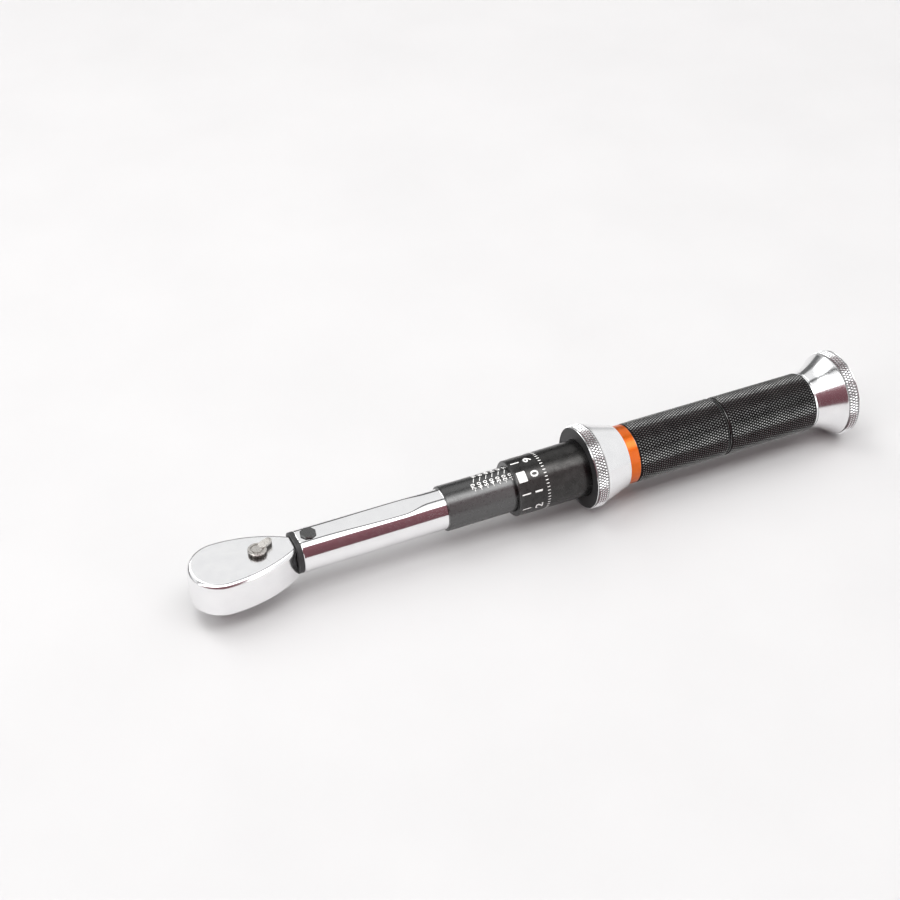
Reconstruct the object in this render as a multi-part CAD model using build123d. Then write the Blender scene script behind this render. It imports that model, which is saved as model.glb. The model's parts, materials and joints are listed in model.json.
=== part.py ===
from build123d import *
import math
import os

# Click torque wrench with a 3/8 in. square drive, in millimetres.
# +X runs from the head to the handle, +Z points up through the head's lever side.
# The origin is the centre of the square drive's end face, which stands on the floor.

# Driving dimensions
AXIS_Z = 24.4            # height of the wrench's long axis
RUN = 0.05               # running fit, radial
GAP = 0.3                # free gap between moving pieces

SQUARE = 9.53            # 3/8 in. drive
SQUARE_LENGTH = 11.0
DRIVE_BALL_R = 1.6
DRIVE_BALL_Z = 5.5

HEAD_R = 17.3
HEAD_NOSE = -0.7         # centre of the head's round nose
HEAD_REAR = 36.9
HEAD_REAR_HALF = 6.65
HEAD_EDGE_R = 2.6        # rounding of the head's top edge
HEAD_FOOT_R = 1.0        # and of its bottom and rear edges
HEAD_BOTTOM = 12.0
HEAD_TOP = AXIS_Z + 7.7
PLATE = 2.2              # thickness of the head's bottom cover
CAVITY_TOP = HEAD_TOP - 4.5

GEAR_TEETH = 60
GEAR_R = 10.5
TOOTH_DEPTH = 0.6
GEAR_BOTTOM = 16.2
GEAR_TOP = 27.2
LEVER_X = 18.7           # axis shared by the reversing lever and the pawl
LEVER_SHAFT_R = 3.4
LEVER_REST = 26.0        # degrees that the lever's tab points to the side at rest
LEVER_R = 4.9
LEVER_HEIGHT = 2.6       # of the lever's disc above the head
TAB_HEIGHT = 3.6         # of the tip of its tab above the head
TAB_REACH = 8.0          # from the lever's axis to the centre of the tab's round tip
SCALLOPS = 16            # finger notches round the disc
PAWL_ROCK = 6.0          # degrees each way

PIVOT_X = 46.1           # vertical pivot of the head in the tube
PIVOT_R = 3.0
PIVOT_HEAD_R = 4.4
PIVOT_HEAD_HEIGHT = 1.1
TANG_END = 76.0
TANG_HALF_HEIGHT = 5.0
SEAL_FRONT = 37.5
TUBE_FRONT = 39.8
TUBE_FRONT_R = 11.3
TUBE_REAR_R = 11.0
TUBE_FLAT = 10.3         # half height over the tube's flats, level as far as here
TUBE_FLAT_END = 52.0
TUBE_DIP = 98.0          # the flats are deepest and widest here
TUBE_DIP_FLAT = 9.4
TUBE_WAIST = 112.0       # and narrow behind here
TUBE_WAIST_FLAT = 10.6
TUBE_BORE_R = 8.2
TUBE_END = 228.0
SLEEVE_FRONT = 120.5
SLEEVE_R = 12.3
SLEEVE_END = 226.0
NUT_FRONT = 214.0
NUT_PIN_X = 221.0

BLOCK_X = 79.9           # centre of the rocking block
BLOCK_R = 3.6
PLUNGER_FRONT = 83.8
PLUNGER_REAR = 97.0
SEAT_FRONT = 160.0
SEAT_REAR = 166.0
SLIDER_R = TUBE_BORE_R - 0.1
SCREW_R = 5.0
SCREW_TIP = SEAT_REAR + 2.0
SCREW_FLANGE = 340.0
BALL_CONE = 2.7          # depth and radius of the cones that hold the thrust ball

THIMBLE_FRONT = 159.8
THIMBLE_BORE_R = SLEEVE_R + GAP
THIMBLE_R = 15.8
COLLAR_FRONT = 202.1
COLLAR_REAR = 225.4
COLLAR_RIM_R = 23.2
COLLAR_RIM_END = 209.2
COLLAR_BORE_R = 18.0
COLLAR_STEP = 219.0      # step in the bore that the snap ring rests against
FACE_RING_REAR = 204.4
FACE_RING_R = 22.6
LOCK_BALL_X = 210.5
LOCK_BALL_R = 1.5
SNAP_RING_FRONT = 217.7
SNAP_RING_REAR = 218.6
BAND_R = 16.5
GRIP_FRONT = 231.7
SEAM = 288.5
GRIP_REAR = 345.1
GRIP_R = 16.75
GRIP_BORE_R = 14.6
CAP_RIM_FRONT = 361.6
CAP_REAR = 368.4
CAP_RIM_R = AXIS_Z
CAP_SCREW_SEAT = 357.5

WRENCH_AXIS = Axis((0, 0, AXIS_Z), (1, 0, 0))
LEVER_AXIS = Axis((LEVER_X, 0, 0), (0, 0, 1))


def turned(*profile):
    """A solid turned about the wrench's axis from (x, radius) points."""
    corners = [(x, 0, AXIS_Z + radius) for x, radius in profile]
    return revolve(make_face(Polyline(*corners, close=True)), WRENCH_AXIS)


def sleeve(start, end, inner, outer):
    """A tube about the wrench's axis."""
    return turned((start, inner), (end, inner), (end, outer), (start, outer))


def rod(start, end, radius):
    """A round bar on the wrench's axis."""
    return Pos((start + end) / 2, 0, AXIS_Z) * Rot(0, 90, 0) * Cylinder(radius, end - start)


def post(x, y, bottom, top, radius):
    """A vertical round bar."""
    return Pos(x, y, (bottom + top) / 2) * Cylinder(radius, top - bottom)


def slab(outline, bottom, top):
    """A flat outline raised between two heights."""
    return Pos(0, 0, bottom) * extrude(outline, top - bottom)


def coil_spring(place, length, radius, wire, turns):
    """A helical spring that starts at place and runs along its local Z."""
    path = Helix(pitch=length / turns, height=length, radius=radius)
    section = Plane(origin=path @ 0, z_dir=path % 0) * Circle(wire / 2)
    return place * sweep(section, path=path, is_frenet=True)


def head_outline():
    """The teardrop seen from above: a round nose and two long arcs to the neck."""
    length = HEAD_REAR - HEAD_NOSE
    drop = HEAD_R - HEAD_REAR_HALF
    side_radius = (length ** 2 + drop ** 2) / (2 * drop)
    bulge = HEAD_R - side_radius + math.sqrt(side_radius ** 2 - (length / 2) ** 2)
    middle = HEAD_NOSE + length / 2
    nose = ThreePointArc((HEAD_NOSE, HEAD_R), (HEAD_NOSE - HEAD_R, 0), (HEAD_NOSE, -HEAD_R))
    near = ThreePointArc((HEAD_NOSE, -HEAD_R), (middle, -bulge), (HEAD_REAR, -HEAD_REAR_HALF))
    rear = Line((HEAD_REAR, -HEAD_REAR_HALF), (HEAD_REAR, HEAD_REAR_HALF))
    far = ThreePointArc((HEAD_REAR, HEAD_REAR_HALF), (middle, bulge), (HEAD_NOSE, HEAD_R))
    return make_face(Wire([nose, near, rear, far]))


def ratchet_cavity():
    """The hollow for the gear and the pawl, as seen from above."""
    pawl_room = Pos(11.5, 0) * Rectangle(15, 22)
    return Circle(GEAR_R + 0.5) + pawl_room + Pos(LEVER_X, 0) * Circle(9.3)


def cover_outline(inset):
    return offset(head_outline(), -inset, kind=Kind.INTERSECTION)


def cover_screw_places():
    return [(-9.5, -9.5), (-9.5, 9.5), (30.2, -5.2), (30.2, 5.2)]


def make_ratchet_head():
    body = slab(head_outline(), HEAD_BOTTOM, HEAD_TOP)
    body = fillet(body.edges().group_by(Axis.Z)[-1].sort_by(Axis.X)[:-1], HEAD_EDGE_R)
    body = fillet(body.edges().group_by(Axis.Z)[0], HEAD_FOOT_R)
    neck = Pos(37.5, 0, AXIS_Z) * Box(17, 9.6, 2 * TANG_HALF_HEIGHT)
    hub = post(PIVOT_X, 0, AXIS_Z - TANG_HALF_HEIGHT, AXIS_Z + TANG_HALF_HEIGHT, 6.0)
    arm_length = TANG_END - PIVOT_X
    arm = Pos(PIVOT_X + arm_length / 2, 0, AXIS_Z) * Box(arm_length, 8.4, 2 * TANG_HALF_HEIGHT)
    head = body + neck + hub + arm
    head -= slab(cover_outline(1.4), HEAD_BOTTOM, HEAD_BOTTOM + PLATE)
    head -= slab(ratchet_cavity(), HEAD_BOTTOM, CAVITY_TOP)
    head -= post(0, 0, CAVITY_TOP, GEAR_TOP + 3.0, 6.5 + RUN)
    head -= post(LEVER_X, 0, CAVITY_TOP, HEAD_TOP, LEVER_SHAFT_R + RUN)
    head -= post(PIVOT_X, 0, 0, 2 * AXIS_Z, PIVOT_R + RUN)
    for x, y in cover_screw_places():
        head -= post(x, y, HEAD_BOTTOM, HEAD_BOTTOM + 8, 1.25)
    mark = Pos(LEVER_X + LEVER_R + 3.0, 0, HEAD_TOP) * Box(4.6, 0.35, 0.3)
    return head - mark.rotate(LEVER_AXIS, -68)


def make_neck_seal():
    """A ring on the tube's mouth, in the tube's own outline, with room for the neck to swing."""
    seal = rod(SEAL_FRONT, TUBE_FRONT, TUBE_FRONT_R - 0.3)
    seal &= Pos(TUBE_FRONT, 0, AXIS_Z) * Box(20, 30, 2 * TUBE_FLAT - 0.6)
    return seal - Pos(TUBE_FRONT, 0, AXIS_Z) * Box(20, 11.2, 2 * TANG_HALF_HEIGHT + 2 * GAP)


def make_cover_plate():
    plate = slab(cover_outline(1.45), HEAD_BOTTOM, HEAD_BOTTOM + PLATE)
    plate -= post(0, 0, HEAD_BOTTOM, HEAD_BOTTOM + PLATE, 8.5 + RUN)
    for x, y in cover_screw_places():
        plate -= screw_blank(x, y)
    return plate


def screw_blank(x, y):
    """A countersunk screw, head down, flush with the cover."""
    taper = Pos(x, y, HEAD_BOTTOM + 0.6) * Cone(2.0, 1.25, 1.2)
    return taper + post(x, y, HEAD_BOTTOM, HEAD_BOTTOM + 8, 1.25)


def make_cover_screws():
    screws = []
    for x, y in cover_screw_places():
        socket = slab(Pos(x, y) * RegularPolygon(0.85, 6), HEAD_BOTTOM, HEAD_BOTTOM + 0.9)
        screws.append(screw_blank(x, y) - socket)
    return Compound(children=screws)


def gear_outline(spare):
    """A star of V teeth, with spare added all round."""
    corners = []
    for step in range(2 * GEAR_TEETH):
        radius = GEAR_R + spare - TOOTH_DEPTH * (step % 2)
        angle = math.pi * step / GEAR_TEETH
        corners.append((radius * math.cos(angle), radius * math.sin(angle)))
    return make_face(Polyline(*corners, close=True))


def make_drive_gear():
    square = Pos(0, 0, SQUARE_LENGTH / 2) * Box(SQUARE, SQUARE, SQUARE_LENGTH)
    square = chamfer(square.edges().group_by(Axis.Z)[0], 0.7)
    gear = square + post(0, 0, SQUARE_LENGTH, HEAD_BOTTOM, 7.4)
    gear += post(0, 0, HEAD_BOTTOM, GEAR_BOTTOM, 8.5)
    gear += slab(gear_outline(0), GEAR_BOTTOM, GEAR_TOP)
    gear += post(0, 0, GEAR_TOP, GEAR_TOP + 2.7, 6.5)
    hole = Pos(0, -1.0, DRIVE_BALL_Z) * Rot(90, 0, 0) * Cylinder(DRIVE_BALL_R + RUN, 7.6)
    return gear - hole


def make_drive_ball():
    return Pos(0, -SQUARE / 2 + 0.9, DRIVE_BALL_Z) * Sphere(DRIVE_BALL_R)


def make_drive_ball_spring():
    place = Pos(0, -1.9, DRIVE_BALL_Z) * Rot(-90, 0, 0)
    return coil_spring(place, 4.4, 1.1, 0.35, 5)


def make_pawl():
    """A rocker with a toothed wing on each side, cut clear of the gear at every angle."""
    blank = Circle(14.6) & (Pos(12, 0) * Rectangle(12, 18.4))
    blank += Pos(LEVER_X, 0) * Circle(6.2)
    rocking_steps = 12
    for step in range(rocking_steps + 1):
        rock = PAWL_ROCK * (2 * step / rocking_steps - 1)
        blank -= gear_outline(0.16).rotate(LEVER_AXIS, -rock)
    pawl = slab(blank, GEAR_BOTTOM + 0.4, GEAR_TOP - 0.4)
    pawl = pawl.solids().sort_by(SortBy.VOLUME)[-1]
    pawl -= post(LEVER_X, 0, GEAR_BOTTOM, GEAR_TOP, LEVER_SHAFT_R + RUN)
    middle = (GEAR_BOTTOM + GEAR_TOP) / 2
    pawl -= post(LEVER_X, 0, middle - 1.8, middle + 1.8, 4.8)
    return pawl.rotate(LEVER_AXIS, -PAWL_ROCK)


def lever_detent(reach):
    """A place on the lever's shaft, facing the gear at the given distance from the axis."""
    middle = (GEAR_BOTTOM + GEAR_TOP) / 2
    return Pos(LEVER_X, 0, middle) * Rot(0, 0, LEVER_REST) * Pos(-reach, 0, 0)


def lever_disc(bottom):
    """The disc, with finger notches round it and a sunk ring in its top."""
    top = HEAD_TOP + LEVER_HEIGHT
    disc = post(LEVER_X, 0, bottom, top, LEVER_R)
    disc = chamfer(disc.edges().group_by(Axis.Z)[-1], 0.4)
    for step in range(SCALLOPS):
        notch = post(LEVER_X + LEVER_R + 0.35, 0, bottom, top, 0.6)
        disc -= notch.rotate(LEVER_AXIS, 360 * (step + 0.5) / SCALLOPS)
    return disc - (post(LEVER_X, 0, top - 0.45, top, 3.5) - post(LEVER_X, 0, top - 0.45, top, 2.7))


def lever_tab(bottom):
    """The tab: narrower than the disc, rising towards a round tip."""
    outline = make_hull([*(Pos(LEVER_X + 3.8, 0) * Circle(2.2)).edges(),
                         *(Pos(LEVER_X + TAB_REACH, 0) * Circle(1.8)).edges()])
    tab = slab(outline, bottom, HEAD_TOP + TAB_HEIGHT)
    tab = chamfer(tab.edges().group_by(Axis.Z)[-1], 0.4)
    rise = TAB_HEIGHT - LEVER_HEIGHT
    slope = Polyline((LEVER_X, 0, HEAD_TOP + LEVER_HEIGHT - 0.2), (LEVER_X, 0, HEAD_TOP + 10),
                     (LEVER_X + TAB_REACH, 0, HEAD_TOP + 10),
                     (LEVER_X + TAB_REACH, 0, HEAD_TOP + LEVER_HEIGHT + rise), close=True)
    return tab - extrude(make_face(slope), 5, dir=(0, 1, 0), both=True)


def make_reversing_lever():
    bottom = HEAD_TOP + 0.15
    lever = (lever_disc(bottom) + lever_tab(bottom)).rotate(LEVER_AXIS, LEVER_REST)
    lever += post(LEVER_X, 0, HEAD_BOTTOM + PLATE + 0.2, bottom, LEVER_SHAFT_R)
    lever -= lever_detent(0.7) * Rot(0, 90, 0) * Cylinder(1.45, 5.6)
    return lever - clip_groove(LEVER_SHAFT_R + 1)


def clip_groove(outer):
    return post(LEVER_X, 0, 15.1, 15.9, outer) - post(LEVER_X, 0, 15.1, 15.9, 2.6)


def make_lever_clip():
    return clip_groove(5.0)


def make_detent_ball():
    return lever_detent(3.1) * Sphere(1.4)


def make_detent_spring():
    return coil_spring(lever_detent(1.5) * Rot(0, 90, 0), 3.2, 0.95, 0.35, 4)


def make_click_block():
    """A rocking block with round ends, so that it tips without being squeezed."""
    block = Pos(BLOCK_X, 0, AXIS_Z) * Box(10, 6, 8)
    return block & post(BLOCK_X, 0, 0, 2 * AXIS_Z, BLOCK_R)


def make_plunger():
    return rod(PLUNGER_FRONT, PLUNGER_REAR, SLIDER_R) + rod(PLUNGER_REAR, PLUNGER_REAR + 6, 4.0)


def make_main_spring():
    place = Pos(PLUNGER_REAR + 1.5, 0, AXIS_Z) * Rot(0, 90, 0)
    return coil_spring(place, SEAT_FRONT - PLUNGER_REAR - 3.0, 6.0, 2.6, 10)


def tube_between_flats():
    """The room between the upper and lower flats, as far as the scale sleeve."""
    heights = [(TUBE_FRONT, TUBE_FLAT), (TUBE_FLAT_END, TUBE_FLAT), (TUBE_DIP, TUBE_DIP_FLAT),
               (TUBE_WAIST, TUBE_WAIST_FLAT), (SLEEVE_FRONT, TUBE_WAIST_FLAT)]
    upper = [(x, 0, AXIS_Z + height) for x, height in heights]
    lower = [(x, 0, AXIS_Z - height) for x, height in reversed(heights)]
    side = make_face(Polyline(*upper, *lower, close=True))
    return extrude(side, 20, dir=(0, 1, 0), both=True)


def make_lever_tube():
    tube = turned((TUBE_FRONT, TUBE_BORE_R), (TUBE_FRONT, TUBE_FRONT_R - 0.5),
                  (TUBE_FRONT + 0.5, TUBE_FRONT_R), (SLEEVE_FRONT, TUBE_REAR_R),
                  (TUBE_END, TUBE_REAR_R), (TUBE_END, TUBE_BORE_R))
    tube &= tube_between_flats() + rod(SLEEVE_FRONT, TUBE_END, TUBE_REAR_R)
    tube -= post(PIVOT_X, 0, 0, 2 * AXIS_Z, PIVOT_R)
    for side in (1, -1):
        tube -= nut_pin(side)
    return tube


def make_pivot_screw():
    top = AXIS_Z + TUBE_FLAT
    outline = Pos(PIVOT_X, 0) * Rot(0, 0, 10) * RegularPolygon(PIVOT_HEAD_R, 8)
    head = slab(outline, top, top + PIVOT_HEAD_HEIGHT)
    head = chamfer(head.edges().group_by(Axis.Z)[-1], 0.4)
    return head + post(PIVOT_X, 0, AXIS_Z - TUBE_FLAT, top, PIVOT_R)


def make_scale_sleeve():
    tube = turned((SLEEVE_FRONT, TUBE_REAR_R), (SLEEVE_FRONT, SLEEVE_R - 0.4),
                  (SLEEVE_FRONT + 0.4, SLEEVE_R), (SLEEVE_END, SLEEVE_R),
                  (SLEEVE_END, TUBE_REAR_R))
    for side in (1, -1):
        tube -= nut_pin(side)
    return tube


def nut_pin(side):
    return Pos(NUT_PIN_X, side * 9.3, AXIS_Z) * Rot(90, 0, 0) * Cylinder(1.5, 5.4)


def make_nut_pins():
    return Compound(children=[nut_pin(1), nut_pin(-1)])


def make_adjusting_nut():
    nut = sleeve(NUT_FRONT, TUBE_END, SCREW_R + RUN, TUBE_BORE_R)
    return nut - nut_pin(1) - nut_pin(-1)


def make_spring_seat():
    """The disc behind the main spring, with a cone for the thrust ball."""
    return turned((SEAT_FRONT - 5, 0), (SEAT_FRONT - 5, 4.0), (SEAT_FRONT, 4.0),
                  (SEAT_FRONT, SLIDER_R), (SEAT_REAR, SLIDER_R), (SEAT_REAR, BALL_CONE),
                  (SEAT_REAR - BALL_CONE, 0))


def make_thrust_ball():
    return Pos((SEAT_REAR + SCREW_TIP) / 2, 0, AXIS_Z) * Sphere(2.5)


def make_adjusting_screw():
    """The long screw, with a cone at its tip, a flange and a tapped hole at the handle's end."""
    return turned((SCREW_TIP, BALL_CONE), (SCREW_TIP, SCREW_R), (SCREW_FLANGE, SCREW_R),
                  (SCREW_FLANGE, THIMBLE_BORE_R), (GRIP_REAR, THIMBLE_BORE_R), (GRIP_REAR, 2.5),
                  (330, 2.5), (330, 0), (SCREW_TIP + BALL_CONE, 0))


def make_thimble():
    tube = turned((THIMBLE_FRONT, THIMBLE_BORE_R), (THIMBLE_FRONT, THIMBLE_R - 0.9),
                  (THIMBLE_FRONT + 0.5, THIMBLE_R - 0.4), (COLLAR_FRONT, THIMBLE_R),
                  (GRIP_FRONT, THIMBLE_R), (GRIP_FRONT, GRIP_BORE_R),
                  (GRIP_REAR, GRIP_BORE_R), (GRIP_REAR, THIMBLE_BORE_R))
    tube -= snap_ring(THIMBLE_R + 1)
    for turn in range(3):
        tube -= lock_ball(turn, RUN) + lock_ball_hole(turn)
    return tube


def lock_ball_place(turn):
    return Pos(LOCK_BALL_X, 0, AXIS_Z) * Rot(90 + 120 * turn, 0, 0) * Pos(0, 0, 14.2)


def lock_ball(turn, spare=0.0):
    return lock_ball_place(turn) * Sphere(LOCK_BALL_R + spare)


def lock_ball_hole(turn):
    return lock_ball_place(turn) * Pos(0, 0, LOCK_BALL_R) * Cylinder(LOCK_BALL_R + RUN, 3)


def make_lock_balls():
    return Compound(children=[lock_ball(turn) for turn in range(3)])


def snap_ring(outer):
    return sleeve(SNAP_RING_FRONT, SNAP_RING_REAR, 15.1, outer)


def make_collar_snap_ring():
    return snap_ring(17.6)


def make_lock_collar():
    """A hollow cone: knurled rim in front, a step inside for the snap ring, a plain rear bore."""
    return turned((COLLAR_FRONT, FACE_RING_R), (COLLAR_FRONT, COLLAR_RIM_R - 0.3),
                  (COLLAR_FRONT + 0.3, COLLAR_RIM_R), (COLLAR_RIM_END, COLLAR_RIM_R),
                  (COLLAR_RIM_END + 0.4, COLLAR_RIM_R - 0.6), (COLLAR_REAR - 0.4, 17.9),
                  (COLLAR_REAR, 17.6), (COLLAR_REAR, BAND_R + GAP),
                  (COLLAR_STEP, BAND_R + GAP), (COLLAR_STEP, COLLAR_BORE_R),
                  (FACE_RING_REAR, COLLAR_BORE_R), (FACE_RING_REAR, FACE_RING_R))


def make_collar_face_ring():
    return sleeve(COLLAR_FRONT + 0.3, FACE_RING_REAR, THIMBLE_R + GAP, FACE_RING_R)


def make_collar_spring():
    place = Pos(205.0, 0, AXIS_Z) * Rot(0, 90, 0)
    return coil_spring(place, 12.1, 17.0, 0.9, 4)


def make_lock_band():
    return sleeve(COLLAR_REAR - 0.4, GRIP_FRONT, THIMBLE_R, BAND_R)


def make_grip(start, end):
    return turned((start, GRIP_BORE_R), (start, GRIP_R - 0.4), (start + 0.4, GRIP_R),
                  (end - 0.4, GRIP_R), (end, GRIP_R - 0.4), (end, GRIP_BORE_R))


def make_end_cap():
    """A flared cap with a knurled rim and a shallow dish behind it."""
    return turned((GRIP_REAR, 3.0), (GRIP_REAR, GRIP_R - 0.9), (GRIP_REAR + 1, GRIP_R - 0.9),
                  (GRIP_REAR + 1.3, GRIP_R - 0.5), (351, 17.5), (356, 20.0),
                  (CAP_RIM_FRONT - 0.4, CAP_RIM_R - 1.0), (CAP_RIM_FRONT, CAP_RIM_R - 0.5),
                  (CAP_REAR - 0.5, CAP_RIM_R), (CAP_REAR, CAP_RIM_R - 0.5), (CAP_REAR, 20.0),
                  (CAP_REAR - 2, 18.5), (CAP_REAR - 2, 6.0), (CAP_SCREW_SEAT, 6.0),
                  (CAP_SCREW_SEAT, 3.0))


def make_end_cap_screw():
    screw = rod(CAP_SCREW_SEAT, CAP_SCREW_SEAT + 6, 5.0)
    screw += rod(GRIP_REAR, CAP_SCREW_SEAT, 3.0) + rod(332, GRIP_REAR, 2.5)
    socket = Pos(CAP_SCREW_SEAT + 4.3, 0, AXIS_Z) * Rot(0, 90, 0) * extrude(RegularPolygon(2.9, 6), 2)
    return screw - socket


NODES = {
    "ratchet_head": make_ratchet_head,
    "neck_seal": make_neck_seal,
    "cover_plate": make_cover_plate,
    "cover_screws": make_cover_screws,
    "drive_gear": make_drive_gear,
    "drive_ball": make_drive_ball,
    "drive_ball_spring": make_drive_ball_spring,
    "pawl": make_pawl,
    "reversing_lever": make_reversing_lever,
    "lever_clip": make_lever_clip,
    "detent_ball": make_detent_ball,
    "detent_spring": make_detent_spring,
    "click_block": make_click_block,
    "plunger": make_plunger,
    "main_spring": make_main_spring,
    "lever_tube": make_lever_tube,
    "pivot_screw": make_pivot_screw,
    "scale_sleeve": make_scale_sleeve,
    "adjusting_nut": make_adjusting_nut,
    "nut_pins": make_nut_pins,
    "spring_seat": make_spring_seat,
    "thrust_ball": make_thrust_ball,
    "adjusting_screw": make_adjusting_screw,
    "thimble": make_thimble,
    "lock_balls": make_lock_balls,
    "collar_snap_ring": make_collar_snap_ring,
    "lock_collar": make_lock_collar,
    "collar_face_ring": make_collar_face_ring,
    "collar_spring": make_collar_spring,
    "lock_band": make_lock_band,
    "grip_front": lambda: make_grip(GRIP_FRONT, SEAM - GAP),
    "grip_rear": lambda: make_grip(SEAM + GAP, GRIP_REAR),
    "end_cap": make_end_cap,
    "end_cap_screw": make_end_cap_screw,
}

os.makedirs("parts", exist_ok=True)
for name, make in NODES.items():
    export_step(make(), f"parts/{name}.step")
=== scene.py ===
import json
import math

import bmesh
import bpy
from mathutils import Matrix, Vector


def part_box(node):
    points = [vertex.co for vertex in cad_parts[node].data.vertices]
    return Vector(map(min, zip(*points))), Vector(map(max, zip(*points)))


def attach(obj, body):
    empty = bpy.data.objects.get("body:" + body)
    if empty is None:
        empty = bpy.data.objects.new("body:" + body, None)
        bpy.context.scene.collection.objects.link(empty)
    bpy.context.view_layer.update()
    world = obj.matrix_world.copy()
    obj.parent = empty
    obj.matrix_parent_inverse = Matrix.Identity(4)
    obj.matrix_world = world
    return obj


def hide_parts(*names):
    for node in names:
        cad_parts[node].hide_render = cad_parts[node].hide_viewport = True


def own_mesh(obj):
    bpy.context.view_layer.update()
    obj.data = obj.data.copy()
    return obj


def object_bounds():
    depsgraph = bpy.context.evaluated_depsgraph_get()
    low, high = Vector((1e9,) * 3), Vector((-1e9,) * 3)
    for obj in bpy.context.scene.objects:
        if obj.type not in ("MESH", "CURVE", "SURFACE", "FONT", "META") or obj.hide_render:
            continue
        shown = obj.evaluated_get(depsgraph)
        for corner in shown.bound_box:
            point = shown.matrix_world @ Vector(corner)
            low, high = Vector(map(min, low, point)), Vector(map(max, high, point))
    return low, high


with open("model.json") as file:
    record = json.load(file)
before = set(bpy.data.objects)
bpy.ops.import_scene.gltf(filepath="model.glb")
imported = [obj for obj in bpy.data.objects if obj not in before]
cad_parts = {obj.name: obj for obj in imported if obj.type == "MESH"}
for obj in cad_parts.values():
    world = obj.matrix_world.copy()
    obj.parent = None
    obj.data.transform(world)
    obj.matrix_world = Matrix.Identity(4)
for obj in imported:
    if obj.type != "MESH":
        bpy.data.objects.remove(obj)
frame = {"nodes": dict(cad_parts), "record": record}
cad_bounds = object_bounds()

MM = 0.001


# ---------------------------------------------------------------- sizes, in millimetres

def low(node):
    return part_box(node)[0] / MM


def high(node):
    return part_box(node)[1] / MM


def half_height(node):
    return (high(node).z - low(node).z) / 2


AXIS_Z = (low("end_cap").z + high("end_cap").z) / 2
HEAD_TOP = high("ratchet_head").z
THIMBLE_FRONT = low("thimble").x
THIMBLE_R = half_height("thimble")
SLEEVE_FRONT = low("scale_sleeve").x
SLEEVE_R = half_height("scale_sleeve")
GRIP_R = half_height("grip_front")
RIM_R = half_height("lock_collar")
CAP_R = half_height("end_cap")
FACE_R = half_height("collar_face_ring")
GRIP_BORE_R = 14.6
TUBE_BORE_R = 8.2
KNURL_WIDTH = 1.67         # of one diamond, round the part
KNURL_LENGTH = 2.85        # and along it
LEAD = 3.6                 # travel of the handle for each turn
HANDLE_TURNS = 6.5         # from rest to the highest setting
PLUNGER_STROKE = 1.5
COLLAR_STROKE = 5.0
BALL_STROKE = 0.7


# ---------------------------------------------------------------- material helpers

class Nodes:
    """Short calls for the nodes of a material or of the world."""

    def __init__(self, tree):
        self.nodes = tree.nodes
        self.links = tree.links

    def add(self, kind, *values, **settings):
        """Adds a node; its inputs, in order, are linked to sockets or set, and None skips one."""
        node = self.nodes.new("ShaderNode" + kind)
        for key, setting in settings.items():
            setattr(node, key, setting)
        for socket, value in zip(node.inputs, values):
            if isinstance(value, bpy.types.NodeSocket):
                self.links.new(value, socket)
            elif value is not None:
                socket.default_value = value
        return node

    def maths(self, operation, *values):
        return self.add("Math", *values, operation=operation).outputs[0]

    def rising(self, value, start, end, top=1.0, kind="LINEAR"):
        """0 before start, rising to top at end. Start may be above end."""
        return self.add("MapRange", value, start, end, 0.0, top, interpolation_type=kind).outputs[0]

    def ramp(self, value, *stops):
        """A ramp from (position, grey level or RGB triple) stops."""
        ramp = self.add("ValToRGB", value)
        elements = ramp.color_ramp.elements
        while len(elements) < len(stops):
            elements.new(1.0)
        for element, (position, colour) in zip(elements, stops):
            element.position = position
            element.color = (*(colour if isinstance(colour, tuple) else (colour,) * 3), 1)
        return ramp.outputs["Color"]

    def mixed(self, factor, first, second):
        """Blends two colours, each a socket or an RGB triple."""
        mix = self.add("Mix", factor, data_type="RGBA")
        for socket, colour in ((mix.inputs[6], first), (mix.inputs[7], second)):
            if isinstance(colour, tuple):
                socket.default_value = (*colour, 1)
            else:
                self.links.new(colour, socket)
        return mix.outputs[2]


class Shader(Nodes):
    """A principled material."""

    def __init__(self, name, **values):
        self.material = bpy.data.materials.new(name)
        self.material.use_nodes = True
        super().__init__(self.material.node_tree)
        self.shader = self.nodes["Principled BSDF"]
        for key, value in values.items():
            self.shader.inputs[key.replace("_", " ")].default_value = value
        self.place = self.add("TexCoord").outputs["Object"]

    def scaled(self, x, y, z):
        """Object coordinates, in millimetres, stretched along each axis."""
        mapping = self.add("Mapping", self.place)
        mapping.inputs["Scale"].default_value = (x / MM, y / MM, z / MM)
        return mapping.outputs["Vector"]

    def noise(self, scale, detail=3.0, roughness=0.5):
        texture = self.add("TexNoise", self.scaled(*scale))
        texture.inputs["Scale"].default_value = 1.0
        texture.inputs["Detail"].default_value = detail
        texture.inputs["Roughness"].default_value = roughness
        return texture.outputs["Fac"]

    def pointiness(self, *stops):
        """A ramp over the mesh's pointiness: above 0.5 on convex edges, below it in grooves."""
        return self.ramp(self.add("NewGeometry").outputs["Pointiness"], *stops)

    def colour(self, socket):
        self.links.new(socket, self.shader.inputs["Base Color"])

    def roughness(self, value, lowest, highest):
        ramp = self.ramp(value, (0.35, lowest), (0.7, highest))
        self.links.new(ramp, self.shader.inputs["Roughness"])

    def bump(self, value, strength, distance_mm):
        bump = self.add("Bump")
        bump.inputs["Strength"].default_value = strength
        bump.inputs["Distance"].default_value = distance_mm * MM
        self.links.new(value, bump.inputs["Height"])
        previous = self.shader.inputs["Normal"].links
        if previous:
            self.links.new(previous[0].from_socket, bump.inputs["Normal"])
        self.links.new(bump.outputs["Normal"], self.shader.inputs["Normal"])


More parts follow.
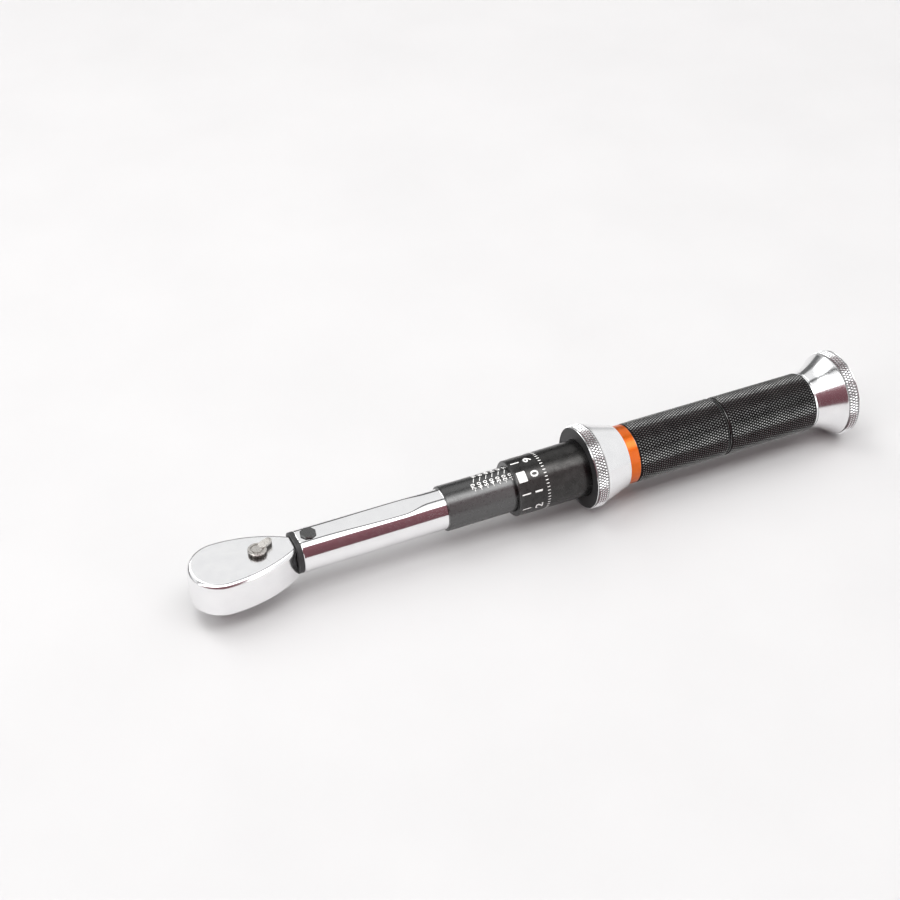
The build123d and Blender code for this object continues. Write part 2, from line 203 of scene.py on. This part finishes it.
def polished_chrome():
    look = Shader("polished_chrome", Metallic=1.0)
    haze = look.noise((0.12, 0.12, 0.12), detail=4)
    look.colour(look.ramp(haze, (0.3, (0.86, 0.86, 0.87)), (0.7, (0.91, 0.91, 0.915))))
    look.roughness(look.noise((0.5, 1.6, 1.6), detail=5), 0.06, 0.13)
    look.bump(look.noise((0.35, 0.6, 0.6), detail=2), 0.05, 0.05)
    return look.material


def satin_chrome():
    """Turned plating: fine rings round the wrench's axis."""
    look = Shader("satin_chrome", Metallic=1.0)
    rings = look.noise((9.0, 0.15, 0.15), detail=3)
    haze = look.noise((0.1, 0.1, 0.1), detail=3)
    look.colour(look.ramp(haze, (0.3, (0.84, 0.84, 0.85)), (0.7, (0.90, 0.90, 0.905))))
    look.roughness(rings, 0.12, 0.22)
    look.bump(rings, 0.06, 0.02)
    return look.material


def grimy_grooves(name, colour, roughness):
    """The walls of knurled grooves, darker than the surface above them: painted shade in the grooves."""
    look = Shader(name, Metallic=1.0)
    mottle = look.noise((0.8, 0.8, 0.8), detail=4)
    # Painted shade: the groove walls get a darker colour than the points, mottled by noise.
    look.colour(look.ramp(mottle, (0.3, tuple(0.6 * part for part in colour)), (0.7, colour)))
    look.roughness(mottle, roughness, roughness + 0.15)
    return look.material


def brushed_chrome():
    """The head's plating: duller than the tube, with faint brushing along it."""
    look = Shader("brushed_chrome", Metallic=1.0)
    brushing = look.noise((0.5, 7.0, 7.0), detail=4)
    haze = look.noise((0.15, 0.15, 0.15), detail=4)
    look.colour(look.ramp(haze, (0.3, (0.87, 0.87, 0.88)), (0.7, (0.91, 0.91, 0.915))))
    look.roughness(brushing, 0.16, 0.26)
    look.bump(brushing, 0.05, 0.02)
    return look.material


def cast_steel():
    """The lever's grainy casting, darkened round its foot: painted shade on its lower sides."""
    look = Shader("cast_steel", Metallic=1.0)
    grain = look.noise((2.6, 2.6, 2.6), detail=5, roughness=0.7)
    height = look.add("SeparateXYZ", look.scaled(1, 1, 1)).outputs["Z"]
    # Painted shade: nearly black below 1.5 mm above the head's face, fading out by 2.3 mm.
    foot_shade = look.rising(height, HEAD_TOP + 2.3, HEAD_TOP + 1.5)
    bright = look.ramp(grain, (0.38, (0.30, 0.28, 0.26)), (0.62, (0.72, 0.70, 0.67)))
    look.colour(look.mixed(foot_shade, bright, (0.05, 0.045, 0.04)))
    look.roughness(grain, 0.22, 0.42)
    look.bump(grain, 0.5, 0.15)
    return look.material


def black_oxide():
    """Blackened steel with a satin sheen, rubbed to grey along its edges."""
    look = Shader("black_steel", Metallic=1.0)
    cloud = look.noise((0.3, 0.3, 0.3), detail=4)
    black = look.ramp(cloud, (0.3, (0.046, 0.045, 0.044)), (0.7, (0.066, 0.064, 0.063)))
    worn = look.pointiness((0.54, 0.0), (0.60, 1.0))
    look.colour(look.mixed(worn, black, (0.13, 0.13, 0.13)))
    look.roughness(look.noise((1.1, 1.1, 1.1), detail=5), 0.26, 0.36)
    look.bump(look.noise((4, 4, 4), detail=2), 0.04, 0.02)
    return look.material


def black_knurling():
    """The grips' points, worn grey by the hand."""
    look = Shader("black_grip", Metallic=1.0)
    cloud = look.noise((0.12, 0.12, 0.12), detail=4)
    look.colour(look.ramp(cloud, (0.3, (0.16, 0.16, 0.16)), (0.7, (0.26, 0.26, 0.255))))
    look.roughness(look.noise((2, 2, 2), detail=3), 0.15, 0.25)
    return look.material


def black_rubber():
    look = Shader("black_plastic")
    grain = look.noise((3, 3, 3), detail=4)
    look.colour(look.ramp(grain, (0.3, (0.012, 0.012, 0.013)), (0.7, (0.03, 0.03, 0.031))))
    look.roughness(grain, 0.45, 0.65)
    look.bump(grain, 0.15, 0.05)
    return look.material


def orange_anodised():
    look = Shader("orange_band", Metallic=0.75, Coat_Weight=0.3, Coat_Roughness=0.15)
    rings = look.noise((8, 0.2, 0.2), detail=3)
    look.colour(look.ramp(rings, (0.3, (0.64, 0.105, 0.003)), (0.7, (0.76, 0.15, 0.005))))
    look.roughness(rings, 0.28, 0.40)
    look.bump(rings, 0.05, 0.02)
    return look.material


def white_paint():
    look = Shader("white_paint")
    wear = look.noise((2.5, 2.5, 2.5), detail=4, roughness=0.6)
    look.colour(look.ramp(wear, (0.28, (0.60, 0.60, 0.59)), (0.42, (0.90, 0.90, 0.88))))
    look.roughness(wear, 0.4, 0.6)
    return look.material


def bare_steel(name):
    look = Shader(name, Metallic=1.0)
    rings = look.noise((3, 1, 1), detail=4)
    look.colour(look.ramp(rings, (0.3, (0.46, 0.46, 0.47)), (0.7, (0.60, 0.60, 0.61))))
    look.roughness(rings, 0.22, 0.38)
    look.bump(rings, 0.08, 0.03)
    return look.material


LOOKS = {
    "polished_chrome": polished_chrome(),
    "satin_chrome": satin_chrome(),
    "brushed_chrome": brushed_chrome(),
    "cast_steel": cast_steel(),
    "black_steel": black_oxide(),
    "black_grip": black_knurling(),
    # Darker colours for the lower groove walls: painted shade in the knurling.
    "chrome_grooves": grimy_grooves("chrome_grooves", (0.34, 0.34, 0.34), 0.3),
    "black_grooves": grimy_grooves("black_grooves", (0.02, 0.02, 0.02), 0.4),
    "black_plastic": black_rubber(),
    "orange_band": orange_anodised(),
    "bare_steel": bare_steel("bare_steel"),
    "spring_steel": bare_steel("spring_steel"),
    "white_paint": white_paint(),
}
OWN_LOOKS = {"ratchet_head": "brushed_chrome", "cover_plate": "brushed_chrome"}


def paint_cad_nodes():
    """Every CAD node that stays gets its slot's material and smooth shading with crisp edges."""
    slots = {part["node"]: part["material_slot"] for part in frame["record"]["subparts"]}
    for node, piece in frame["nodes"].items():
        piece.data.materials.clear()
        piece.data.materials.append(LOOKS[OWN_LOOKS.get(node, slots[node])])
        shade(piece)


def shade(piece):
    """Smooth shading, with an edge wherever faces meet at more than 32 degrees."""
    piece.data.shade_smooth()
    piece.data.set_sharp_from_angle(angle=math.radians(32))


# ---------------------------------------------------------------- mesh helpers

def finished(name, mesh, materials, body, slot, *nodes):
    """Turns a bmesh into a piece that rides on a body and replaces CAD nodes."""
    data = bpy.data.meshes.new(name)
    bmesh.ops.recalc_face_normals(mesh, faces=mesh.faces)
    mesh.to_mesh(data)
    mesh.free()
    piece = bpy.data.objects.new(name, data)
    bpy.context.scene.collection.objects.link(piece)
    for material in materials:
        data.materials.append(LOOKS[material])
    shade(piece)
    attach(piece, body)
    if nodes:
        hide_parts(*nodes)
    return piece


def around(x, radius, angle):
    """A point at an angle from the top towards the far side, x and radius in millimetres."""
    return Vector((x, radius * math.sin(angle), AXIS_Z + radius * math.cos(angle))) * MM


def ring(mesh, x, radius, steps):
    return [mesh.verts.new(around(x, radius, math.tau * step / steps)) for step in range(steps)]


def skin(mesh, first, second):
    """Quads between two rings."""
    steps = len(first)
    for step in range(steps):
        following = (step + 1) % steps
        mesh.faces.new((first[step], first[following], second[following], second[step]))


def knurl(mesh, start, end, radius, depth, steps, flat, rear_radius=None):
    """Diamond knurling: blunt pyramids between two sets of helical grooves.

    steps is twice the number of diamonds round the part, and flat is the share of each that
    is level. The lower half of the walls has the mesh's second material, whose darker colour
    paints shade into the grooves. Returns the first and last ring.
    """
    points = 0
    grooves = 1
    widening = (rear_radius or radius) - radius
    rows = round(2 * (end - start) / KNURL_LENGTH)

    def place(i, j, sunk):
        share = j / rows
        height = radius + widening * share - sunk
        return around(start + (end - start) * share, height, math.tau * i / steps)

    grid = {}
    for j in range(rows + 1):
        for i in range(steps):
            if (i + j) % 2 == 0 or j in (0, rows):
                grid[i, j] = mesh.verts.new(place(i, j, depth))
    for j in range(1, rows):
        for i in range(steps):
            if (i + j) % 2 == 0:
                continue
            after = (i + 1) % steps
            before = (i - 1) % steps
            corners = [grid[after, j], grid[i, j + 1], grid[before, j], grid[i, j - 1]]
            for reach, sunk, material in (((1 + flat) / 2, depth / 2, grooves), (flat, 0.0, points)):
                upper = [mesh.verts.new(place(i + reach * u, j + reach * v, sunk))
                         for u, v in ((1, 0), (0, 1), (-1, 0), (0, -1))]
                for k in range(4):
                    other = (k + 1) % 4
                    wall = (corners[k], corners[other], upper[other], upper[k])
                    mesh.faces.new(wall).material_index = material
                corners = upper
            mesh.faces.new(corners)
    for j, inner in ((0, 1), (rows, rows - 1)):
        for i in range(steps):
            if (i + j) % 2 == 1:
                side = (grid[(i - 1) % steps, j], grid[(i + 1) % steps, j])
                for corner in side:
                    mesh.faces.new((corner, grid[i, j], grid[i, inner])).material_index = grooves
    first = [grid[i, 0] for i in range(steps)]
    last = [grid[i, rows] for i in range(steps)]
    return first, last


def turned(name, sections, steps, materials, body, slot, *nodes):
    """A closed turned solid from (x, radius) rings and knurled stretches given as dictionaries."""
    mesh = bmesh.new()
    opening = previous = None
    for section in sections:
        if isinstance(section, dict):
            first, last = knurl(mesh, steps=steps, **section)
        else:
            first = last = ring(mesh, *section, steps)
        if previous:
            skin(mesh, previous, first)
        opening = opening or first
        previous = last
    skin(mesh, previous, opening)
    return finished(name, mesh, materials, body, slot, *nodes)


# ---------------------------------------------------------------- knurled parts

def knurl_steps(radius):
    """Twice the number of diamonds that fit round a radius."""
    return 2 * round(math.tau * radius / KNURL_WIDTH)


def make_grips():
    """Two black sleeves with fine diamond knurling almost to their ends."""
    depth = 0.55
    margin = 0.3
    neck = GRIP_R - depth - 0.05
    edge = GRIP_R - depth - 0.3
    steps = knurl_steps(GRIP_R)
    for node in ("grip_front", "grip_rear"):
        start = low(node).x
        end = high(node).x
        turned(node + "_knurled", [
            (start, GRIP_BORE_R), (start, edge), (start + margin / 2, neck),
            dict(start=start + margin, end=end - margin, radius=GRIP_R, depth=depth, flat=0.12),
            (end - margin / 2, neck), (end, edge), (end, GRIP_BORE_R),
        ], steps, ("black_grip", "black_grooves"), "handle", "black_steel", node)


def make_lock_collar():
    """The flared collar: a knurled rim, a smooth cone to the rear and a wide recess inside."""
    front = low("lock_collar").x
    rear = high("lock_collar").x
    rim = front + 7.1
    rear_bore_r = 16.8
    recess_r = 18.0
    recess_front = 204.4
    recess_rear = 219.0
    turned("lock_collar_turned", [
        (front, FACE_R), (front, RIM_R - 0.45), (front + 0.25, RIM_R - 0.3),
        dict(start=front + 0.35, end=rim, radius=RIM_R, depth=0.5, flat=0.4),
        (rim + 0.2, RIM_R - 0.55), (rim + 0.5, RIM_R - 0.7),
        *straight_run((rim + 0.8, RIM_R - 0.75), (rear - 0.4, 17.9), 24),
        (rear - 0.1, 17.7), (rear, 17.4),
        (rear, rear_bore_r), (recess_rear, rear_bore_r),
        (recess_rear, recess_r), (recess_front, recess_r), (recess_front, FACE_R),
    ], knurl_steps(RIM_R), ("satin_chrome", "chrome_grooves"), "collar", "satin_chrome",
        "lock_collar")


def make_end_cap():
    """The flared end cap: a hollow-sided cone, a knurled rim, a dished rear face and a screw hole."""
    front = low("end_cap").x
    rear = high("end_cap").x
    rim = rear - 6.8
    neck_r = GRIP_R - 0.9
    dish_depth = 2.0
    screw_r = 3.0
    counterbore_r = 6.0
    counterbore_floor = 357.5
    turned("end_cap_turned", [
        (front, screw_r), (front, neck_r), (front + 1.0, neck_r), (front + 1.1, neck_r + 0.3),
        *curved_run(((front + 1.4, neck_r + 0.5), (front + 6.2, 17.6), (front + 11.2, 20.1),
                     (rim - 0.5, CAP_R - 1.2)), 30),
        (rim - 0.2, CAP_R - 0.9),
        dict(start=rim, end=rear - 0.5, radius=CAP_R - 0.5, rear_radius=CAP_R, depth=0.5,
             flat=0.4),
        (rear - 0.3, CAP_R - 0.35), (rear, CAP_R - 0.8), (rear, 20.0),
        *straight_run((rear - 0.1, 19.6), (rear - dish_depth, 18.5), 5),
        (rear - dish_depth, counterbore_r), (counterbore_floor, counterbore_r),
        (counterbore_floor, screw_r),
    ], knurl_steps(CAP_R), ("satin_chrome", "chrome_grooves"), "handle", "satin_chrome",
        "end_cap")


def straight_run(first, last, count):
    """Evenly spaced (x, radius) points on the straight line from first to last."""
    return [tuple(a + (b - a) * step / (count - 1) for a, b in zip(first, last))
            for step in range(count)]


def curved_run(knots, count):
    """(x, radius) points, evenly spaced along x, on the one smooth curve through the knots."""
    points = []
    for x, _ in straight_run(knots[0], knots[-1], count):
        radius = 0.0
        for place, value in knots:
            radius += value * math.prod((x - other) / (place - other)
                                        for other, _ in knots if other != place)
        points.append((x, radius))
    return points


# ---------------------------------------------------------------- the tube

def make_lever_tube():
    """The chrome tube: flats above and below, widening to a dip and then narrowing at the waist."""
    front = low("lever_tube").x
    rear = high("lever_tube").x
    rear_r = 11.0
    screw_head_height = 1.1
    level = high("pivot_screw").z - screw_head_height - AXIS_Z
    level_end = 50.0
    dip = 98.0
    waist = 112.0
    dip_depth = 0.9
    waist_rise = 1.2
    steps = 640
    # Close together where the flats change height.
    outline = [(front, 10.6), (front + 0.15, 11.0),
               *straight_run((front + 0.5, 11.3), (52.0, 11.25), 4),
               *straight_run((54.0, 11.24), (92.0, 11.08), 20),
               *straight_run((93.0, 11.07), (waist + 4, rear_r), 48), (SLEEVE_FRONT, rear_r)]
    mesh = bmesh.new()
    rings = []
    for x, radius in outline:
        flat = level - dip_depth * eased((x - level_end) / (dip - level_end))
        flat += waist_rise * eased((x - dip) / (waist - dip))
        shape = []
        for step in range(steps):
            angle = math.tau * step / steps
            y = radius * math.sin(angle)
            z = squeezed(radius * math.cos(angle), flat)
            shape.append(mesh.verts.new(Vector((x, y, AXIS_Z + z)) * MM))
        rings.append(shape)
    for x, radius in ((SLEEVE_FRONT, rear_r), (rear, rear_r), (rear, TUBE_BORE_R), (front, TUBE_BORE_R)):
        rings.append(ring(mesh, x, radius, steps))
    for first, second in zip(rings, rings[1:]):
        skin(mesh, first, second)
    skin(mesh, rings[-1], rings[0])
    finished("lever_tube_formed", mesh, ("polished_chrome",), "barrel", "polished_chrome",
             "lever_tube")


def eased(share):
    """Rises smoothly from 0 to 1."""
    share = min(max(share, 0.0), 1.0)
    return share * share * (3 - 2 * share)


def squeezed(z, flat, softness=0.35):
    """Holds a height within the flats, with a small radius at the crease."""
    over = (abs(z) - flat) / softness
    if over < -8:
        return z
    kept = flat - softness * math.log1p(math.exp(-over))
    return math.copysign(kept, z)


# ---------------------------------------------------------------- printed marks

PAINT_HEIGHT = 0.06
CAPITAL_SHARE = 0.72       # height of a digit, as a share of the font's size
INDEX_ANGLE = math.radians(-31.5)
DIVISIONS = 10
RING_TICKS = 5 * DIVISIONS


def wrapped(target, source, x, angle, radius):
    """Wraps a flat mesh, in millimetres, round the axis, with its up direction towards the head."""
    spacing = 0.4
    for step in range(-40, 41):
        bmesh.ops.bisect_plane(source, geom=source.verts[:] + source.edges[:] + source.faces[:],
                               plane_co=(step * spacing, 0, 0), plane_no=(1, 0, 0))
    copied = {}
    for corner in source.verts:
        turn = angle + corner.co.x / radius
        copied[corner] = target.verts.new(around(x - corner.co.y, radius + corner.co.z, turn))
    for face in source.faces:
        target.faces.new([copied[corner] for corner in face.verts])
    source.free()


def number(target, text, x, angle, radius, height, width):
    """A painted number, its digits stretched sideways by width."""
    curve = bpy.data.curves.new("digits", "FONT")
    curve.body = text
    curve.size = height / CAPITAL_SHARE
    curve.extrude = PAINT_HEIGHT / 2
    curve.offset = 0.02 * height
    curve.align_x = "CENTER"
    curve.align_y = "CENTER"
    curve.resolution_u = 3
    letter = bpy.data.objects.new("digits", curve)
    bpy.context.scene.collection.objects.link(letter)
    depsgraph = bpy.context.evaluated_depsgraph_get()
    flat = bpy.data.meshes.new_from_object(letter.evaluated_get(depsgraph))
    bpy.data.objects.remove(letter)
    bpy.data.curves.remove(curve)
    source = bmesh.new()
    source.from_mesh(flat)
    bpy.data.meshes.remove(flat)
    bmesh.ops.scale(source, vec=(width, 1, 1), verts=source.verts)
    wrapped(target, source, x, angle, radius)


def bar(target, x, angle, radius, length, width, slant=0.0):
    """A painted bar, length along the wrench and width round it, turned by slant radians."""
    source = bmesh.new()
    bmesh.ops.create_cube(source, size=1.0)
    bmesh.ops.scale(source, vec=(width, length, PAINT_HEIGHT), verts=source.verts)
    bmesh.ops.rotate(source, matrix=Matrix.Rotation(-slant, 3, "Z"), verts=source.verts)
    wrapped(target, source, x, angle, radius)


def make_thimble_marks():
    """Ten ticks and digits round the thimble, a broad bar at nought, and a ring of short ticks."""
    mesh = bmesh.new()
    lift = THIMBLE_R - 0.25
    ticks = THIMBLE_FRONT + 3.9
    digits = THIMBLE_FRONT + 11.4
    short_ticks = THIMBLE_FRONT + 17.0
    for digit in range(DIVISIONS):
        angle = INDEX_ANGLE - math.tau * digit / DIVISIONS
        number(mesh, str(digit), digits, angle, lift, 4.4, 1.3)
        bar(mesh, ticks, angle, lift - 0.1, 5.0, 6.0 if digit == 0 else 0.7)
    for step in range(RING_TICKS):
        bar(mesh, short_ticks, math.tau * step / RING_TICKS, lift, 1.6, 0.45)
    finished("thimble_marks", mesh, ("white_paint",), "handle", "black_steel")


def make_scale_marks():
    """The torque scale: a tick, a number, a slanting line and a metric number for each turn."""
    mesh = bmesh.new()
    lift = SLEEVE_R + 0.02
    metric_values = ("14", "27", "41", "54", "68", "81", "95")
    lowest = THIMBLE_FRONT - 0.4
    tick_angle = math.radians(-26)
    number_angle = math.radians(-15)
    line_angle = math.radians(4)
    metric_angle = math.radians(24)
    for turn, metric in enumerate(metric_values):
        x = lowest - LEAD * turn
        bar(mesh, x, tick_angle, lift, 0.3, 1.4)
        number(mesh, str(10 * (turn + 1)), x, number_angle, lift, 2.3, 1.2)
        bar(mesh, x + LEAD / 2, line_angle, lift, 0.35, 3.4, slant=0.5)
        if turn > 0:
            number(mesh, metric, x + LEAD, metric_angle, lift, 2.2, 1.2)
    finished("scale_marks", mesh, ("white_paint",), "barrel", "black_steel")


# ---------------------------------------------------------------- springs

def make_springs():
    """Each spring's coil becomes its own piece, riding on a body.

    The main spring is pressed from both ends, so it has a front and a rear part that meet at
    a fixed plane.
    """
    front = low("main_spring").x
    split = front + 14.0
    main_rear = high("main_spring").x
    collar_rear = high("collar_spring").x
    collar_front = low("collar_spring").x
    ball_end = high("drive_ball_spring").y
    ball_start = low("drive_ball_spring").y
    along = (1, 0, 0)
    across = (0, 1, 0)
    everything = (-1000.0, 1000.0)
    parts = [
        ("main_spring", "main_spring_front", (front - 1, split), "barrel", "plunger_push", along,
         (split, 0, AXIS_Z), PLUNGER_STROKE / (split - front)),
        ("main_spring", "main_spring_rear", (split, main_rear + 1), "barrel", "handle_travel", along,
         (split, 0, AXIS_Z), HANDLE_TURNS * LEAD / (main_rear - split)),
        ("collar_spring", "collar_spring_coil", everything, "handle", "collar_pull", along,
         (collar_rear, 0, AXIS_Z), COLLAR_STROKE / (collar_rear - collar_front)),
        ("drive_ball_spring", "drive_ball_spring_coil", everything, "drive", "ball_press", across,
         (0, ball_end, 0), BALL_STROKE / (ball_end - ball_start)),
    ]
    for node, name, between, body, joint, axis, anchor, pressed in parts:
        piece = bpy.data.objects.new(name, cut_between(node, *between))
        bpy.context.scene.collection.objects.link(piece)
        piece.data.materials.append(LOOKS["spring_steel"])
        shade(piece)
        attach(piece, body)
        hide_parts(node)
        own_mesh(piece)


def cut_between(node, start, end):
    """A copy of a CAD node's mesh, cut off and closed at two places along the wrench."""
    mesh = bmesh.new()
    mesh.from_mesh(frame["nodes"][node].data)
    bmesh.ops.remove_doubles(mesh, verts=mesh.verts, dist=0.001 * MM)
    for place, side in ((start, -1), (end, 1)):
        cut = bmesh.ops.bisect_plane(mesh, geom=mesh.verts[:] + mesh.edges[:] + mesh.faces[:],
                                     plane_co=(place * MM, 0, 0), plane_no=(side, 0, 0),
                                     clear_outer=True)
        rim = [part for part in cut["geom_cut"] if isinstance(part, bmesh.types.BMEdge)]
        bmesh.ops.holes_fill(mesh, edges=rim, sides=0)
    data = bpy.data.meshes.new(node + "_part")
    mesh.to_mesh(data)
    mesh.free()
    return data


# ---------------------------------------------------------------- studio

def make_floor():
    """Plain pale paper, level with the end of the square drive."""
    reach = 6.0
    mesh = bpy.data.meshes.new("floor")
    mesh.from_pydata([(-reach, -reach, 0), (reach, -reach, 0), (reach, reach, 0), (-reach, reach, 0)],
                     [], [(0, 1, 2, 3)])
    floor = bpy.data.objects.new("floor", mesh)
    bpy.context.scene.collection.objects.link(floor)
    look = Shader("floor_paper", Roughness=0.6)
    cloud = look.noise((0.01, 0.01, 0.01))
    look.colour(look.ramp(cloud, (0.3, (0.55, 0.55, 0.55)), (0.7, (0.57, 0.57, 0.57))))
    mesh.materials.append(look.material)


GREY = (1.0, 1.0, 1.0)
DUSK = (1.9, 0.8, 0.95)
BOX_LEVEL = 4.0            # of the near box, the brightest thing in the room

# Light from each side: degrees from straight up towards the near side, brightness and tint.
ROOM = [
    (-90, 0.14, GREY), (-66, 0.14, GREY),       # the room behind
    (-61, 0.90, GREY), (-24, 0.95, GREY),       # the far box
    (-21, 0.08, GREY), (-13, 0.08, GREY),       # the gap between the boxes
    (-9, 0.95, GREY), (1, 1.0, GREY),           # the near box's dim edge
    (6, 3.8, GREY), (27, 4.0, GREY),            # the near box
    (35, 0.14, DUSK), (60, 0.10, DUSK), (90, 0.08, DUSK),
]


def light_of(level, tint=GREY):
    """A world colour, as a share of the brightest box's level."""
    return tuple(level / BOX_LEVEL * part for part in tint)


def make_world():
    """Two long soft boxes hang above the wrench, parallel to it, in a dim room."""
    world = bpy.data.worlds.new("studio")
    bpy.context.scene.world = world
    world.use_nodes = True
    room = Nodes(world.node_tree)
    direction = room.add("SeparateXYZ", room.add("TexCoord").outputs["Generated"]).outputs
    along = direction["X"]
    nearness = room.maths("MULTIPLY", direction["Y"], -1.0)
    angle = room.maths("ARCTAN2", nearness, direction["Z"])
    half_turn = room.rising(angle, -math.pi / 2, math.pi / 2)
    stops = [((degrees + 90) / 180, light_of(level, tint)) for degrees, level, tint in ROOM]
    light = room.ramp(half_turn, *stops)
    # A window in the far box, towards the head, is as bright as the near box.
    window = room.maths("SUBTRACT", room.rising(along, -0.05, -0.15), room.rising(along, -0.32, -0.42))
    gain = room.maths("MULTIPLY_ADD", window, room.rising(angle, 0.0, -0.1, 2.8), 1.0)
    light = room.add("VectorMath", light, None, None, gain, operation="SCALE").outputs[0]
    light = room.add("VectorMath", light, GREY, operation="MINIMUM").outputs[0]
    # Pale paper stands low before the handle.
    low_down = room.rising(angle, math.radians(40), math.radians(50))
    paper = room.maths("MULTIPLY", room.rising(along, 0.36, 0.40), low_down)
    light = room.mixed(paper, light, light_of(2.2))
    # A third, pale box stands beyond the handle's end.
    light = room.mixed(room.rising(along, 0.5, 0.7, kind="SMOOTHSTEP"), light, light_of(0.95))
    # The camera itself sees plain pale paper behind the floor.
    seen = room.add("LightPath").outputs["Is Camera Ray"]
    light = room.mixed(seen, light, light_of(0.80))
    background = room.nodes["Background"].inputs
    room.links.new(light, background["Color"])
    background["Strength"].default_value = BOX_LEVEL


def make_key_light():
    """A square soft light over the far side, which metal doesn't reflect."""
    data = bpy.data.lights.new("key", "AREA")
    data.shape = "RECTANGLE"
    data.size = 0.5
    data.size_y = 0.5
    data.energy = 5
    light = bpy.data.objects.new("key", data)
    bpy.context.scene.collection.objects.link(light)
    distance = 1.3
    target = (cad_bounds[0] + cad_bounds[1]) / 2
    back = Vector((-0.25, 0.25, 0.94)).normalized()
    light.location = target + back * distance
    light.rotation_euler = (-back).to_track_quat("-Z", "Y").to_euler()
    light.visible_glossy = False


def make_camera():
    """Stands at the near side towards the head, looking down along the wrench."""
    data = bpy.data.cameras.new("camera")
    data.sensor_width = 36.0
    data.lens = 68.0
    camera = bpy.data.objects.new("camera", data)
    bpy.context.scene.collection.objects.link(camera)
    camera.location = Vector((-153.9, -615.4, 616.9)) * MM
    tilt = 39.34
    swing = -24.43
    camera.rotation_euler = (math.radians(90 - tilt), 0, math.radians(swing))
    bpy.context.scene.camera = camera


make_camera()
make_world()
make_floor()
make_key_light()
bpy.context.scene.view_settings.view_transform = "Standard"

paint_cad_nodes()
make_lever_tube()
make_grips()
make_lock_collar()
make_end_cap()
make_thimble_marks()
make_scale_marks()
make_springs()
